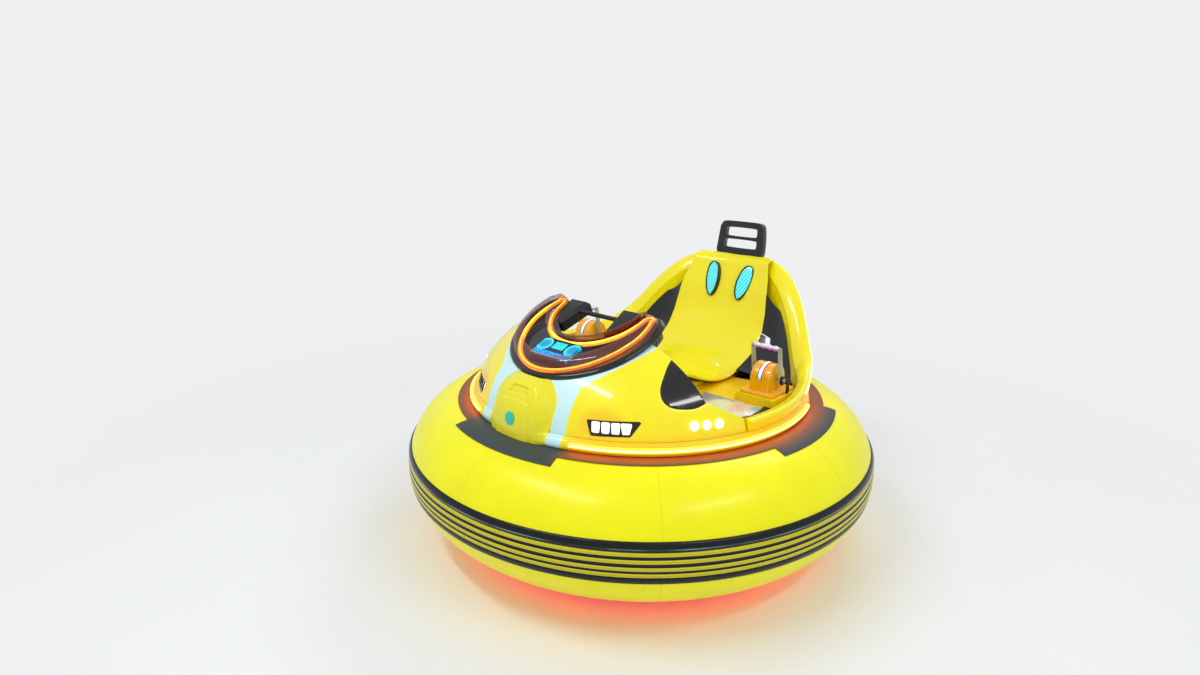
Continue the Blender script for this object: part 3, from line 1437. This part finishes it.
amber = Finish("smoked_amber", Roughness=0.06, Coat_Weight=1.0, Coat_Roughness=0.02)
haze = amber.noise(20, 3)
amber.set(Base_Color=amber.mix(haze, (0.5, 0.2, 0.09), (0.4, 0.15, 0.07)), Alpha=0.3 + haze * 0.12)
paint(amber, "dash_cover_skin")
print("eyes and cover painted")

# %% [markdown]
# ## Levers and floor plates
# The housings are orange gloss, the levers clear acrylic with pearl grips that turn violet below, and the
# floor plates carry a film that shows three colours. The disc on the nose is plain teal.

# %% Levers and floor plates
GRIP_SPLIT = 0.825

orange = coat(
    "orange_housing", (18, 4), (1.0, 0.68, 0.0), (0.99, 0.73, 0.02), rough=(0.2, 0.12), depth=0.0006,
    Roughness=0.25, Coat_Weight=0.8, Coat_Roughness=0.05,
)
paint(orange, "housing_skin_left", "housing_skin_right")
clear = coat(
    "clear_lever", (60, 3, (1, 1, 0.1)), (0.75, 0.74, 0.62), (0.9, 0.9, 0.84), rough=(0.05, 0.1),
    Roughness=0.08, Transmission_Weight=0.6, IOR=1.48,
)
paint(clear, "lever_skin_left", "lever_skin_right")

pearl = Finish("pearl_grip", Roughness=0.25, Coat_Weight=0.6)
swirl = pearl.noise(70, 3)
across, along, height = pearl.axes()
low_side = (GRIP_SPLIT - height).step(-0.002, 0.002)
white = pearl.mix(swirl, (0.93, 0.97, 0.97), (0.88, 0.84, 0.96))
pearl.set(Base_Color=pearl.mix(low_side, white, (0.82, 0.3, 0.85)), Roughness=0.2 + swirl * 0.2)
paint(pearl, "grip_skin_left", "grip_skin_right")

tread = Finish("tread_plate", Roughness=0.2, Metallic=0.25, Coat_Weight=1.0, Coat_Roughness=0.02)
film = tread.noise(9, 2)
studs = tread.cells(60)
silver = tread.mix(film.step(0.33, 0.5), (0.35, 0.9, 1.0), (0.93, 0.97, 1.0))
tread.set(
    Base_Color=tread.mix(film.step(0.5, 0.7), silver, (1.0, 0.82, 0.74)),
    Roughness=0.12 + film * 0.2,
    Normal=tread.bump(studs.step(0.25, 0.1), 0.0008),
)
paint(tread, "floor_plates_skin")

teal = coat("teal_disc", (50, 3), (0.1, 0.75, 0.7), (0.14, 0.8, 0.74), rough=(0.25, 0.1), Roughness=0.3)
paint(teal, "number_disc_skin")
print("all finishes on")

# %% [markdown]
# ## The floor
# A plain pale floor catches the shadow. Far from the car it turns into the backdrop's own colour for the
# camera, so that no horizon shows, while it still lights the car as a floor does.

# %% Floor
FLOOR_RADIUS = 40
FADE = (1.0, 4.0)  # metres from the car between which the floor turns into the backdrop

bpy.ops.object.select_all(action="DESELECT")
bpy.ops.mesh.primitive_circle_add(radius=FLOOR_RADIUS, vertices=96, fill_type="NGON", location=(0, 0, 0))
floor = bpy.context.object
floor.name = "studio_floor"
pale = Finish("pale_floor", Roughness=0.6)
mottle = pale.noise(2, 4)
plain_white = pale.mix(mottle, (0.93, 0.935, 0.94), (0.945, 0.95, 0.955))
pale.set(Base_Color=plain_white, Roughness=0.5 + mottle * 0.2)
across, along, height = pale.axes()
away = distance(across, along).step(*FADE)
seen_here = pale.node("ShaderNodeLightPath", {}, {}, "Is Camera Ray")
blend = pale.node("ShaderNodeMixShader", {}, {0: away * seen_here})
backdrop = pale.tree.nodes.new("ShaderNodeEmission")
backdrop.inputs["Color"].default_value = BACKDROP
mixer = blend.socket.node
pale.tree.links.new(pale.shader.outputs[0], mixer.inputs[1])
pale.tree.links.new(backdrop.outputs[0], mixer.inputs[2])
pale.tree.links.new(mixer.outputs[0], pale.tree.nodes["Material Output"].inputs["Surface"])
floor.data.materials.append(pale.material)
print("floor laid")
